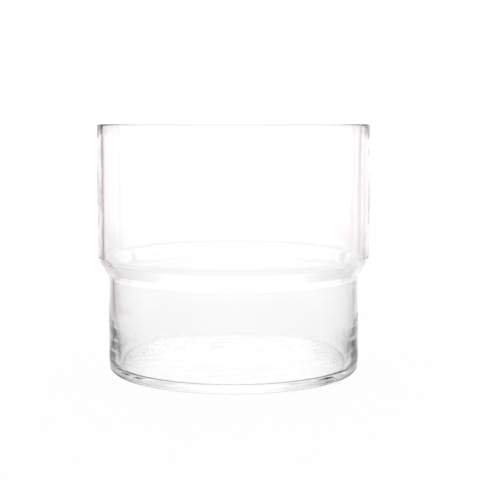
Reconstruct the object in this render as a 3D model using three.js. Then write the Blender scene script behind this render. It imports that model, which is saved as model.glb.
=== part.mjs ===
// A clear stackable tumbler, blown in one piece of glass.
// Its narrow lower body goes into the mouth of the glass below, and its shoulder rests on that glass's lip.
// Millimetres, +Z up, the table at z = 0 and the axis at x = y = 0.
import * as THREE from "three";

// Outside: overall height, the upper wall, and how loosely the lower body goes into another glass's mouth.
const height = 77.4;
const upperDiameter = 85;
const stackingClearance = 1.45;

// Walls, from the lip down.
const lipThickness = 1.4;
const wallThickness = 1.75;
const floorThickness = 2.4;

// The shoulder: where the upper wall starts to turn in, its slope from upright, and its four roundings.
const shoulderTop = 36.1;
const shoulderSlope = THREE.MathUtils.degToRad(35);
const outerShoulderRadius = 2.5;
const outerNeckRadius = 3.5;
const innerShoulderRadius = 3;
const innerNeckRadius = 4.5;

// The bottom: the lower wall thickens downwards on a slight taper, and meets the floor in a fillet.
const heelRadius = 2.5;
const floorFilletRadius = 1.2;
const taperTop = 18;
const taperFoot = 4;
const taperFootThickness = 2.9;
const taperSoftening = 60;

// Underside: a flat bearing ring round a shallow dished recess.
const recessRadius = 28;
const recessRise = 0.5;

// How finely the curves are cut: straight facets round the axis, and steps along each rounding.
const facets = 72;
const recessSteps = 4;
const roundingSteps = 5;
const lipSteps = 8;

const outerUpperRadius = upperDiameter / 2;
const innerUpperRadius = outerUpperRadius - wallThickness;
const outerLowerRadius = innerUpperRadius - stackingClearance;
const innerLowerRadius = outerLowerRadius - wallThickness;
const stepWidth = outerUpperRadius - outerLowerRadius;

// Points along a circular arc in the profile, from one angle to another.
function arc(centreR, centreZ, radius, from, to, steps) {
  const points = [];
  for (let i = 0; i <= steps; i += 1) {
    const angle = from + ((to - from) * i) / steps;
    const r = centreR + radius * Math.cos(angle);
    const z = centreZ + radius * Math.sin(angle);
    points.push(new THREE.Vector2(r, z));
  }
  return points;
}

// The drop from the top to the foot of a shoulder with these two roundings.
function shoulderDrop(upperRounding, lowerRounding) {
  const roundings = upperRounding + lowerRounding;
  const slopeWidth = stepWidth - roundings * (1 - Math.cos(shoulderSlope));
  return roundings * Math.sin(shoulderSlope) + slopeWidth / Math.tan(shoulderSlope);
}

// Underside, from the axis out to the bearing ring.
const recessSphere = (recessRadius ** 2 + recessRise ** 2) / (2 * recessRise);
const recessAngle = Math.asin(recessRadius / recessSphere);
const up = Math.PI / 2;
const recess = arc(0, recessRise - recessSphere, recessSphere, up, up - recessAngle, recessSteps);
recess[0].x = 0;
recess[recessSteps].y = 0;

// Outside, from the heel up to the lip.
const heel = arc(outerLowerRadius - heelRadius, heelRadius, heelRadius, -up, 0, roundingSteps);
const outerDrop = shoulderDrop(outerShoulderRadius, outerNeckRadius);
const outerNeckZ = shoulderTop - outerDrop;
const outerNeck = arc(
  outerLowerRadius + outerNeckRadius,
  outerNeckZ,
  outerNeckRadius,
  Math.PI,
  Math.PI - shoulderSlope,
  roundingSteps,
);
const outerShoulder = arc(
  outerUpperRadius - outerShoulderRadius,
  shoulderTop,
  outerShoulderRadius,
  -shoulderSlope,
  0,
  roundingSteps,
);
const lipRadius = lipThickness / 2;
const lip = arc(outerUpperRadius - lipRadius, height - lipRadius, lipRadius, 0, Math.PI, lipSteps);

// Inside, from the lip down: the slope keeps the wall's thickness, so the inner shoulder sits higher.
const innerDrop = shoulderDrop(innerShoulderRadius, innerNeckRadius);
const slopeRise = wallThickness * Math.tan(shoulderSlope / 2);
const innerShoulderTop = shoulderTop + slopeRise + (innerDrop - outerDrop) / 2;
const innerNeckZ = innerShoulderTop - innerDrop;
const innerShoulder = arc(
  innerUpperRadius - innerShoulderRadius,
  innerShoulderTop,
  innerShoulderRadius,
  0,
  -shoulderSlope,
  roundingSteps,
);
const innerNeck = arc(
  innerLowerRadius + innerNeckRadius,
  innerNeckZ,
  innerNeckRadius,
  Math.PI - shoulderSlope,
  Math.PI,
  roundingSteps,
);

// The taper starts in a soft bend, and its fillet touches it from inside and lies on the floor.
const taperSlope = (taperFootThickness - wallThickness) / (taperTop - taperFoot);
const taperAngle = Math.atan(taperSlope);
const bendZ = taperTop + taperSoftening * Math.tan(taperAngle / 2);
const bend = arc(innerLowerRadius - taperSoftening, bendZ, taperSoftening, 0, -taperAngle, roundingSteps);
const filletZ = floorThickness + floorFilletRadius;
const touchZ = filletZ - floorFilletRadius * Math.sin(taperAngle);
const touchR = innerLowerRadius - (taperTop - touchZ) * taperSlope;
const filletR = touchR - floorFilletRadius * Math.cos(taperAngle);
const fillet = arc(filletR, filletZ, floorFilletRadius, -taperAngle, -up, roundingSteps);

const profile = [
  ...recess,
  ...heel,
  ...outerNeck,
  ...outerShoulder,
  ...lip,
  ...innerShoulder,
  ...innerNeck,
  ...bend,
  ...fillet,
  new THREE.Vector2(0, floorThickness),
];

// The lathe turns about Y, so the glass is stood up on Z afterwards.
const glassShape = new THREE.LatheGeometry(profile, facets);
glassShape.rotateX(up);

const clearGlass = new THREE.MeshStandardMaterial({
  color: 0xf3f3f4,
  roughness: 0.03,
  metalness: 0,
  transparent: true,
  opacity: 0.35,
});

const tumbler = new THREE.Mesh(glassShape, clearGlass);
tumbler.name = "tumbler";

const glass = new THREE.Group();
glass.add(tumbler);

export default glass;
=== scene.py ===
# A clear stackable tumbler on a white table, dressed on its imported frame. Metres, +Z up.
import math

import bmesh
import bpy
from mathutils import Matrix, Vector


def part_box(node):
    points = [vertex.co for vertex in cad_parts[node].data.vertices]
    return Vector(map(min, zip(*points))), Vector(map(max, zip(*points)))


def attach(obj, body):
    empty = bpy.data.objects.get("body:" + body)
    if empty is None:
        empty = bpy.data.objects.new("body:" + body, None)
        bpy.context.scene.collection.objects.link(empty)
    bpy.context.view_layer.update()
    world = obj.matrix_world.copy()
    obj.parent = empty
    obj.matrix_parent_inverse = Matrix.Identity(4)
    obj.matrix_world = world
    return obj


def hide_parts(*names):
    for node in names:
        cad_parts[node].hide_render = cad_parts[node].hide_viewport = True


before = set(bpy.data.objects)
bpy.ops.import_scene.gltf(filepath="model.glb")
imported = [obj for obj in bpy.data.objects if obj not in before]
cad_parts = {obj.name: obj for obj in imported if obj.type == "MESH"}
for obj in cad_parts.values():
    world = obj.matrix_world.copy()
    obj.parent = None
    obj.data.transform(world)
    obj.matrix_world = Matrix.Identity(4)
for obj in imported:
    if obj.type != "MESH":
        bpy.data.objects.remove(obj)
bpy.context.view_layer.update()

# The tumbler is one gob of clear soda-lime glass, pressed to a blank and blown in a turning mould.
# Its lip is melted round, its lower wall thickens towards the heel, and a ring of fine ridges on
# the underside carries it. Its section is drawn once, from the middle of the underside, and turned.
mm = 0.001
tumbler_low, tumbler_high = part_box("tumbler")
height = tumbler_high.z
outer_upper_radius = tumbler_high.x
stacking_clearance = 1.45 * mm
lip_thickness = 1.4 * mm
wall_thickness = 1.75 * mm
floor_thickness = 2.4 * mm
shoulder_top = 36.1 * mm
shoulder_slope = math.radians(35)
outer_shoulder_radius = 2.5 * mm
outer_neck_radius = 3.5 * mm
inner_shoulder_radius = 3 * mm
inner_neck_radius = 4.5 * mm
heel_radius = 2.5 * mm
floor_fillet_radius = 1.2 * mm
taper_top = 18 * mm
taper_foot = 4 * mm
taper_foot_thickness = 2.9 * mm
taper_softening = 60 * mm
recess_radius = 28 * mm
recess_rise = 0.5 * mm
ridge_count = 144
ridge_depth = 0.04 * mm
ridge_from_recess = 1 * mm
ridge_from_heel = 3 * mm
columns_per_ridge = 4
merge_distance = 0.0001 * mm
flat_within = 0.001 * mm

inner_upper_radius = outer_upper_radius - wall_thickness
outer_lower_radius = inner_upper_radius - stacking_clearance
inner_lower_radius = outer_lower_radius - wall_thickness
step_width = outer_upper_radius - outer_lower_radius
heel_start = outer_lower_radius - heel_radius
quarter = math.pi / 2

section = bmesh.new()
pen = section.verts.new((0, 0, recess_rise))


def draw_straight(r, z, steps):
    """Goes on with the section in a straight line, in that many steps, to a radius and a height."""
    global pen
    step = (Vector((r, 0, z)) - pen.co) / steps
    for _ in range(steps):
        pen = bmesh.ops.extrude_vert_indiv(section, verts=[pen])["verts"][0]
        bmesh.ops.translate(section, verts=[pen], vec=step)


def draw_round(centre_r, centre_z, turn, steps):
    """Goes on with the section along an arc about a centre, turning anticlockwise if turn is positive."""
    global pen
    drawn = bmesh.ops.spin(
        section, geom=[pen], cent=(centre_r, 0, centre_z), axis=(0, -1, 0), angle=turn, steps=steps
    )
    pen = next(part for part in drawn["geom_last"] if isinstance(part, bmesh.types.BMVert))


def shoulder_drop(upper_rounding, lower_rounding):
    """The height of a shoulder with these two roundings."""
    roundings = upper_rounding + lower_rounding
    slope_width = step_width - roundings * (1 - math.cos(shoulder_slope))
    return roundings * math.sin(shoulder_slope) + slope_width / math.tan(shoulder_slope)


# Underside and heel.
recess_sphere = (recess_radius**2 + recess_rise**2) / (2 * recess_rise)
recess_turn = math.asin(recess_radius / recess_sphere)
draw_round(0, recess_rise - recess_sphere, -recess_turn, steps=8)
draw_straight(heel_start, 0, steps=4)
draw_round(heel_start, heel_radius, quarter, steps=10)

# Outside, up to the lip.
outer_drop = shoulder_drop(outer_shoulder_radius, outer_neck_radius)
outer_neck_z = shoulder_top - outer_drop
outer_shoulder_centre = outer_upper_radius - outer_shoulder_radius
draw_straight(outer_lower_radius, outer_neck_z, steps=8)
draw_round(outer_lower_radius + outer_neck_radius, outer_neck_z, -shoulder_slope, steps=8)
draw_straight(
    outer_shoulder_centre + outer_shoulder_radius * math.cos(shoulder_slope),
    shoulder_top - outer_shoulder_radius * math.sin(shoulder_slope),
    steps=2,
)
draw_round(outer_shoulder_centre, shoulder_top, shoulder_slope, steps=8)
lip_radius = lip_thickness / 2
draw_straight(outer_upper_radius, height - lip_radius, steps=10)
draw_round(outer_upper_radius - lip_radius, height - lip_radius, math.pi, steps=12)

# Inside, down to the floor: the slope keeps the wall's thickness, so the inner shoulder sits higher.
inner_drop = shoulder_drop(inner_shoulder_radius, inner_neck_radius)
slope_rise = wall_thickness * math.tan(shoulder_slope / 2)
inner_shoulder_top = shoulder_top + slope_rise + (inner_drop - outer_drop) / 2
inner_neck_z = inner_shoulder_top - inner_drop
inner_neck_centre = inner_lower_radius + inner_neck_radius
draw_straight(inner_upper_radius, inner_shoulder_top, steps=10)
draw_round(inner_upper_radius - inner_shoulder_radius, inner_shoulder_top, -shoulder_slope, steps=8)
draw_straight(
    inner_neck_centre - inner_neck_radius * math.cos(shoulder_slope),
    inner_neck_z + inner_neck_radius * math.sin(shoulder_slope),
    steps=2,
)
draw_round(inner_neck_centre, inner_neck_z, shoulder_slope, steps=8)
taper_slope = (taper_foot_thickness - wall_thickness) / (taper_top - taper_foot)
taper_angle = math.atan(taper_slope)
bend_z = taper_top + taper_softening * math.tan(taper_angle / 2)
fillet_z = floor_thickness + floor_fillet_radius
touch_z = fillet_z - floor_fillet_radius * math.sin(taper_angle)
touch_r = inner_lower_radius - (taper_top - touch_z) * taper_slope
fillet_r = touch_r - floor_fillet_radius * math.cos(taper_angle)
draw_straight(inner_lower_radius, bend_z, steps=4)
draw_round(inner_lower_radius - taper_softening, bend_z, -taper_angle, steps=6)
draw_straight(touch_r, touch_z, steps=6)
draw_round(fillet_r, fillet_z, taper_angle - quarter, steps=10)
draw_straight(0, floor_thickness, steps=8)

# The section is turned once round, and the ridges are pressed into the bearing ring.
bmesh.ops.spin(
    section,
    geom=section.verts[:] + section.edges[:],
    cent=(0, 0, 0),
    axis=(0, 0, 1),
    angle=2 * math.pi,
    steps=ridge_count * columns_per_ridge,
    use_merge=True,
)
bmesh.ops.remove_doubles(section, verts=section.verts, dist=merge_distance)
bmesh.ops.recalc_face_normals(section, faces=section.faces)
ridges_start = recess_radius + ridge_from_recess
ridges_end = heel_start - ridge_from_heel
for v in section.verts:
    if v.co.z < flat_within and ridges_start < v.co.xy.length < ridges_end:
        v.co.z += ridge_depth * (0.5 - 0.5 * math.cos(math.atan2(v.co.y, v.co.x) * ridge_count))

tumbler_mesh = bpy.data.meshes.new("glass_tumbler")
section.to_mesh(tumbler_mesh)
section.free()
tumbler_mesh.shade_smooth()
tumbler = bpy.data.objects.new("glass_tumbler", tumbler_mesh)
bpy.context.collection.objects.link(tumbler)

# The glass is clear and smooth. It is a little wavy from the mould, has fine level streaks low down
# where it cooled last, and is scuffed on the ring it stands on.
glass_index = 1.52
wave_scale = 110
wave_height = 0.05 * mm
streak_scale = 700
streak_length_scale = 20
streak_foot = 14 * mm
streak_top = 22 * mm
streak_share = 0.3
scuff_scale = 2400
scuff_top = 0.04 * mm
scuff_roughness = 0.05
clear_glass = bpy.data.materials.new("clear_glass")
clear_glass.use_nodes = True
glass_nodes = clear_glass.node_tree.nodes
glass_links = clear_glass.node_tree.links
glass_shader = glass_nodes["Principled BSDF"]
glass_shader.inputs["Base Color"].default_value = (1, 1, 1, 1)
glass_shader.inputs["IOR"].default_value = glass_index
glass_shader.inputs["Transmission Weight"].default_value = 1
glass_place = glass_nodes.new("ShaderNodeTexCoord").outputs["Object"]
level = glass_nodes.new("ShaderNodeSeparateXYZ")
glass_links.new(glass_place, level.inputs[0])

# Waves and streaks make up one height, which bends the surface.
wave = glass_nodes.new("ShaderNodeTexNoise")
wave.inputs["Scale"].default_value = wave_scale
wave.inputs["Detail"].default_value = 1
streak_place = glass_nodes.new("ShaderNodeMapping")
streak_place.inputs["Scale"].default_value = (streak_length_scale, streak_length_scale, streak_scale)
streak = glass_nodes.new("ShaderNodeTexNoise")
streak.inputs["Scale"].default_value = 1
streak.inputs["Detail"].default_value = 1
streaked = glass_nodes.new("ShaderNodeMapRange")
streaked.inputs["From Min"].default_value = streak_foot
streaked.inputs["From Max"].default_value = streak_top
streaked.inputs["To Min"].default_value = streak_share
streaked.inputs["To Max"].default_value = 0
uneven = glass_nodes.new("ShaderNodeMath")
uneven.operation = "MULTIPLY_ADD"
wavy = glass_nodes.new("ShaderNodeBump")
wavy.inputs["Strength"].default_value = 1
wavy.inputs["Distance"].default_value = wave_height
glass_links.new(glass_place, wave.inputs["Vector"])
glass_links.new(glass_place, streak_place.inputs["Vector"])
glass_links.new(streak_place.outputs[0], streak.inputs["Vector"])
glass_links.new(level.outputs["Z"], streaked.inputs["Value"])
glass_links.new(streak.outputs["Fac"], uneven.inputs[0])
glass_links.new(streaked.outputs[0], uneven.inputs[1])
glass_links.new(wave.outputs["Fac"], uneven.inputs[2])
glass_links.new(uneven.outputs[0], wavy.inputs["Height"])
glass_links.new(wavy.outputs["Normal"], glass_shader.inputs["Normal"])

# Scratches roughen the surface where it touches the table.
scratches = glass_nodes.new("ShaderNodeTexNoise")
scratches.inputs["Scale"].default_value = scuff_scale
foot = glass_nodes.new("ShaderNodeMapRange")
foot.inputs["From Min"].default_value = scuff_top / 2
foot.inputs["From Max"].default_value = scuff_top
foot.inputs["To Min"].default_value = scuff_roughness
foot.inputs["To Max"].default_value = 0
scuffed = glass_nodes.new("ShaderNodeMath")
scuffed.operation = "MULTIPLY"
glass_links.new(glass_place, scratches.inputs["Vector"])
glass_links.new(level.outputs["Z"], foot.inputs["Value"])
glass_links.new(foot.outputs[0], scuffed.inputs[0])
glass_links.new(scratches.outputs["Fac"], scuffed.inputs[1])
glass_links.new(scuffed.outputs[0], glass_shader.inputs["Roughness"])
tumbler_mesh.materials.append(clear_glass)

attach(tumbler, "root")
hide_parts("tumbler")

# The table is a polished white board, which runs on far behind the glass. To the eye it is plain white
# with a little of the real shadow. For rays from the glass its colour holds painted shade: a painted contact
# shadow where the glass touches it, painted dark shade close beside it, and painted warm shade far off to
# both sides.
table_drop = 0.05 * mm
table_half = 12
# The board's own white, and the colours towards which its painted warm shade and painted dark shade go.
board_colour = (0.95, 0.95, 0.95, 1)
warm_shade_paint = (0.45, 0.33, 0.36, 1)
dark_shade_paint = (0.03, 0.03, 0.05, 1)
board_index = 1.5
board_polish = 0.03
white_to_eye = 0.97
white_in_glass = 0.9
through_share = 0.1

# Painted contact shadow where the glass touches the board, stronger through the front and the sides of the
# heel.
touch_start = 35 * mm
touch_full = 36.5 * mm
touch_end = 40 * mm
touch_gone = 41.5 * mm
touch_shade = 1
front_touch = 0.35
side_touch = 0.65
back_start = -0.2
back_full = 0.3

# Painted dark shade beside the glass: how far out it goes, and how much of the way out is sideways.
shade_start = 43 * mm
shade_full = 48 * mm
shade_end = 100 * mm
shade_gone = 140 * mm
side_shade = 1
beside_start = 0.78
beside_full = 0.9
close_end = 50 * mm
close_gone = 80 * mm
close_share = 0.6
straight_start = 0.88
straight_full = 1

# Painted warm shade far off, aslant to the left and fainter to the right.
far_start = 80 * mm
far_full = 100 * mm
far_shade = 0.09
left_shade = 0.5
right_shade = 0.2
aslant_start = 0.42
aslant_full = 0.55
aslant_end = 0.9
aslant_gone = 0.98

table_shape = bmesh.new()
bmesh.ops.create_grid(table_shape, x_segments=1, y_segments=1, size=table_half)
bmesh.ops.translate(table_shape, verts=table_shape.verts, vec=(0, 0, -table_drop))
table_mesh = bpy.data.meshes.new("table")
table_shape.to_mesh(table_mesh)
table_shape.free()
table = bpy.data.objects.new("table", table_mesh)
bpy.context.collection.objects.link(table)
white_board = bpy.data.materials.new("white_board")
white_board.use_nodes = True
board_nodes = white_board.node_tree.nodes
board_links = white_board.node_tree.links
board_nodes.remove(board_nodes["Principled BSDF"])


def board_node(kind, values=(), links=()):
    """Adds a node to the board's material, with some of its inputs set and others linked."""
    node = board_nodes.new(kind)
    for name, value in values:
        node.inputs[name].default_value = value
    for name, output in links:
        board_links.new(output, node.inputs[name])
    return node


def board_math(operation, *values):
    """Adds a Math node on outputs or numbers to the board's material, and gives its result."""
    node = board_nodes.new("ShaderNodeMath")
    node.operation = operation
    for socket, value in zip(node.inputs, values):
        if isinstance(value, bpy.types.NodeSocket):
            board_links.new(value, socket)
        else:
            socket.default_value = value
    return node.outputs[0]


def board_past(value, start, end):
    """Goes evenly from 0 to 1 while a value of the board's material goes from start to end."""
    limits = [("From Min", start), ("From Max", end)]
    return board_node("ShaderNodeMapRange", limits, [("Value", value)]).outputs[0]


def board_between(value, start, full, end, gone):
    """Goes from 0 to 1 from start to full, and back to 0 from end to gone."""
    return board_math("SUBTRACT", board_past(value, start, full), board_past(value, end, gone))


def board_mix(first, second, share):
    """Adds a colour mix to the board's material, for rays that come from the glass, and gives its result; it
    mixes in the painted shade.
    """
    mix = board_nodes.new("ShaderNodeMix")
    mix.data_type = "RGBA"
    if isinstance(first, bpy.types.NodeSocket):
        board_links.new(first, mix.inputs["A"])
    else:
        mix.inputs["A"].default_value = first
    mix.inputs["B"].default_value = second
    board_links.new(board_math("MULTIPLY", share, in_glass), mix.inputs["Factor"])
    return mix.outputs["Result"]


ray = board_nodes.new("ShaderNodeLightPath").outputs
in_glass = board_math("MAXIMUM", ray["Is Glossy Ray"], ray["Is Transmission Ray"])
mirrored_only = board_math("SUBTRACT", 1, ray["Is Transmission Ray"])
board_place = board_nodes.new("ShaderNodeTexCoord").outputs["Object"]
reach = board_nodes.new("ShaderNodeVectorMath")
reach.operation = "LENGTH"
board_links.new(board_place, reach.inputs[0])
from_axis = reach.outputs["Value"]
across = board_node("ShaderNodeSeparateXYZ", [], [(0, board_place)]).outputs
to_right = board_math("DIVIDE", across["X"], from_axis)
to_left = board_math("MULTIPLY", to_right, -1)
to_back = board_math("DIVIDE", across["Y"], from_axis)
sideways = board_math("ABSOLUTE", to_right)

# The painted contact shadow: a dark ring in the board's colour round the heel, full in the glass's mirror
# and partly seen through it.
touch_front = board_math("SUBTRACT", 1, board_past(to_back, back_start, back_full))
touch_round = board_math("MULTIPLY_ADD", sideways, side_touch, front_touch)
touch_through = board_math("MAXIMUM", board_math("MULTIPLY", touch_front, touch_round), through_share)
touch_seen = board_math("MAXIMUM", mirrored_only, touch_through)
touch_ring = board_between(from_axis, touch_start, touch_full, touch_end, touch_gone)
painted_touch_shadow = board_math("MULTIPLY", board_math("MULTIPLY", touch_ring, touch_seen), touch_shade)

# The painted dark shade beside the glass, full in the glass's mirror and close by also seen through it.
side_ring = board_between(from_axis, shade_start, shade_full, shade_end, shade_gone)
side_ring = board_math("MULTIPLY", side_ring, board_past(sideways, beside_start, beside_full))
side_ring = board_math("MULTIPLY", side_ring, board_math("MAXIMUM", mirrored_only, through_share))
close_ring = board_between(from_axis, shade_start, shade_full, close_end, close_gone)
straight_out = board_math("MULTIPLY", board_past(sideways, straight_start, straight_full), close_share)
close_ring = board_math("MULTIPLY", close_ring, straight_out)
painted_side_shade = board_math("MULTIPLY", board_math("MAXIMUM", side_ring, close_ring), side_shade)
# The painted contact shadow and the painted dark shade together.
dark = board_math("MAXIMUM", painted_side_shade, painted_touch_shadow)

# The painted warm shade: faint all round past the glass's foot, stronger far off aslant.
far_off = board_past(from_axis, far_start, far_full)
dim = board_math("MULTIPLY", board_past(from_axis, shade_start, shade_full), far_shade)
for way, share in ((to_left, left_shade), (sideways, right_shade)):
    aslant = board_between(way, aslant_start, aslant_full, aslant_end, aslant_gone)
    aslant = board_math("MULTIPLY", far_off, aslant)
    dim = board_math("MAXIMUM", dim, board_math("MULTIPLY", aslant, share))

# The board's tone with its painted shade, part lit and part white of itself, under a polish that only the
# glass shows.
board_tone_with_painted_shade = board_mix(board_mix(board_colour, warm_shade_paint, dim), dark_shade_paint, dark)
to_eye = board_math("MULTIPLY", ray["Is Camera Ray"], white_to_eye)
white_share = board_math("MAXIMUM", to_eye, board_math("MULTIPLY", in_glass, white_in_glass))
lit = board_node("ShaderNodeBsdfDiffuse", [], [("Color", board_tone_with_painted_shade)]).outputs[0]
full_white = [("Strength", 1 / board_colour[0])]
white = board_node("ShaderNodeEmission", full_white, [("Color", board_tone_with_painted_shade)]).outputs[0]
body = board_node("ShaderNodeMixShader", [], [(0, white_share), (1, lit), (2, white)]).outputs[0]
gloss = [("Color", (1, 1, 1, 1)), ("Roughness", board_polish)]
polish = board_node("ShaderNodeBsdfAnisotropic", gloss).outputs[0]
slant = board_node("ShaderNodeFresnel", [("IOR", board_index)]).outputs[0]
mirrored = board_math("MULTIPLY", slant, in_glass)
board = board_node("ShaderNodeMixShader", [], [(0, mirrored), (1, body), (2, polish)])
board_links.new(board.outputs[0], board_nodes["Material Output"].inputs["Surface"])
table_mesh.materials.append(white_board)

# The studio is a dim room under a bright ceiling of soft light, with a low pale wall round the table.
# Behind the glass hang a white panel and a wider raised sheet, with dark and grey stands before them,
# and a soft light hangs in each front corner. The eye sees plain white. Angles are in degrees.
low_wall_top = 7.4
low_wall = 1.2
side_start = 62
side_edge = 20
side_share = 0.6
front_start = 140
front_edge = 15
front_share = 0.7
ceiling_foot = 27
ceiling_edge = 4
ceiling = 0.8
panel_half = 26
panel_edge = 20
panel_tone = 1.2
sheet_half = 50
sheet_edge = 6
sheet_foot = 16
corner_start = 116
corner_end = 152
corner_edge = 4
corner_foot = 24
corner_top = 40
corner_tone = 1.4
soft_edge = 2
warm_white = (1, 0.9, 0.93, 1)
warm_start = 24
warm_edge = 18
warm_top = 12

# Each stand's two edges, its top, and the share of the light that it lets through.
stands = (
    (-41.5, -33.8, 40, 0),
    (-31, -14, 6, 0.8),
    (14, 31, 6, 0.88),
    (34, 39, 12, 0.6),
    (46, 52, 40, 0),
)
stand_edge = 1

studio = bpy.data.worlds.new("studio")
bpy.context.scene.world = studio
studio.use_nodes = True
studio_nodes = studio.node_tree.nodes
studio_links = studio.node_tree.links


def studio_math(operation, *values):
    """Adds a Math node on outputs or numbers to the studio's light, and gives its result."""
    node = studio_nodes.new("ShaderNodeMath")
    node.operation = operation
    for socket, value in zip(node.inputs, values):
        if isinstance(value, bpy.types.NodeSocket):
            studio_links.new(value, socket)
        else:
            socket.default_value = value
    return node.outputs[0]


def past(angle, degrees, edge=soft_edge):
    """Goes softly from 0 to 1 where an angle of the studio passes a number of degrees."""
    node = studio_nodes.new("ShaderNodeMapRange")
    node.interpolation_type = "SMOOTHSTEP"
    node.inputs["From Min"].default_value = math.radians(degrees - edge)
    node.inputs["From Max"].default_value = math.radians(degrees + edge)
    studio_links.new(angle, node.inputs["Value"])
    return node.outputs[0]


def below(angle, degrees, edge=soft_edge):
    """Goes softly from 1 to 0 where an angle of the studio passes a number of degrees."""
    return studio_math("SUBTRACT", 1, past(angle, degrees, edge))


def lit_by(tone, light, mask):
    """Adds a light of this strength to a tone where the mask is 1; the brighter one is seen."""
    return studio_math("MAXIMUM", tone, studio_math("MULTIPLY", mask, light))


def dimmed(tone, share, mask):
    """Brings a tone down to a share of itself where the mask is 1."""
    loss = studio_math("MULTIPLY", mask, 1 - share)
    return studio_math("MULTIPLY", tone, studio_math("SUBTRACT", 1, loss))


direction = studio_nodes.new("ShaderNodeTexCoord")
axes = studio_nodes.new("ShaderNodeSeparateXYZ")
studio_links.new(direction.outputs["Generated"], axes.inputs[0])
elevation = studio_math("ARCSINE", axes.outputs["Z"])
azimuth = studio_math("ARCTAN2", axes.outputs["X"], axes.outputs["Y"])
aside = studio_math("ABSOLUTE", azimuth)

in_front = past(aside, front_start, front_edge)
at_side = studio_math("SUBTRACT", past(aside, side_start, side_edge), in_front)
room = studio_math("MULTIPLY", below(elevation, low_wall_top), low_wall)
room = dimmed(room, side_share, at_side)
room = dimmed(room, front_share, in_front)
room = lit_by(room, ceiling, past(elevation, ceiling_foot, ceiling_edge))
room = lit_by(room, panel_tone, below(aside, panel_half, panel_edge))
raised = studio_math("MULTIPLY", below(aside, sheet_half, sheet_edge), past(elevation, sheet_foot))
room = lit_by(room, panel_tone, raised)
corner_width = studio_math(
    "SUBTRACT", past(aside, corner_start, corner_edge), past(aside, corner_end, corner_edge)
)
corner_height = studio_math("SUBTRACT", past(elevation, corner_foot), past(elevation, corner_top))
room = lit_by(room, corner_tone, studio_math("MULTIPLY", corner_width, corner_height))
for start, end, top, share in stands:
    stand = studio_math("SUBTRACT", past(azimuth, start, stand_edge), past(azimuth, end, stand_edge))
    room = dimmed(room, share, studio_math("MULTIPLY", stand, below(elevation, top)))

# The room's light is warmer low down at the sides, and the eye sees white.
to_camera = studio_nodes.new("ShaderNodeLightPath").outputs["Is Camera Ray"]
warm = studio_math("MULTIPLY", past(aside, warm_start, warm_edge), below(elevation, warm_top))
warm = studio_math("MULTIPLY", warm, studio_math("SUBTRACT", 1, to_camera))
warmth = studio_nodes.new("ShaderNodeMix")
warmth.data_type = "RGBA"
warmth.inputs["A"].default_value = (1, 1, 1, 1)
warmth.inputs["B"].default_value = warm_white
studio_links.new(warm, warmth.inputs["Factor"])
background = studio_nodes["Background"].inputs
studio_links.new(warmth.outputs["Result"], background["Color"])
studio_links.new(studio_math("MAXIMUM", room, to_camera), background["Strength"])

# The camera stands level with the lip, a little to the right of the glass, and looks slightly down.
# Light goes through and round inside the glass many times, so the bounces are many.
looking_down = 5.62
glass_bounces = 160
camera_data = bpy.data.cameras.new("camera")
camera_data.sensor_width = 36
camera_data.lens = 88.1
camera = bpy.data.objects.new("camera", camera_data)
camera.location = (2.0 * mm, -368.6 * mm, 77.2 * mm)
camera.rotation_euler = (math.radians(90 - looking_down), 0, 0)
bpy.context.collection.objects.link(camera)
scene = bpy.context.scene
scene.camera = camera
scene.view_settings.view_transform = "Standard"
scene.cycles.max_bounces = glass_bounces
scene.cycles.transmission_bounces = glass_bounces
scene.cycles.glossy_bounces = glass_bounces
scene.cycles.diffuse_bounces = 8
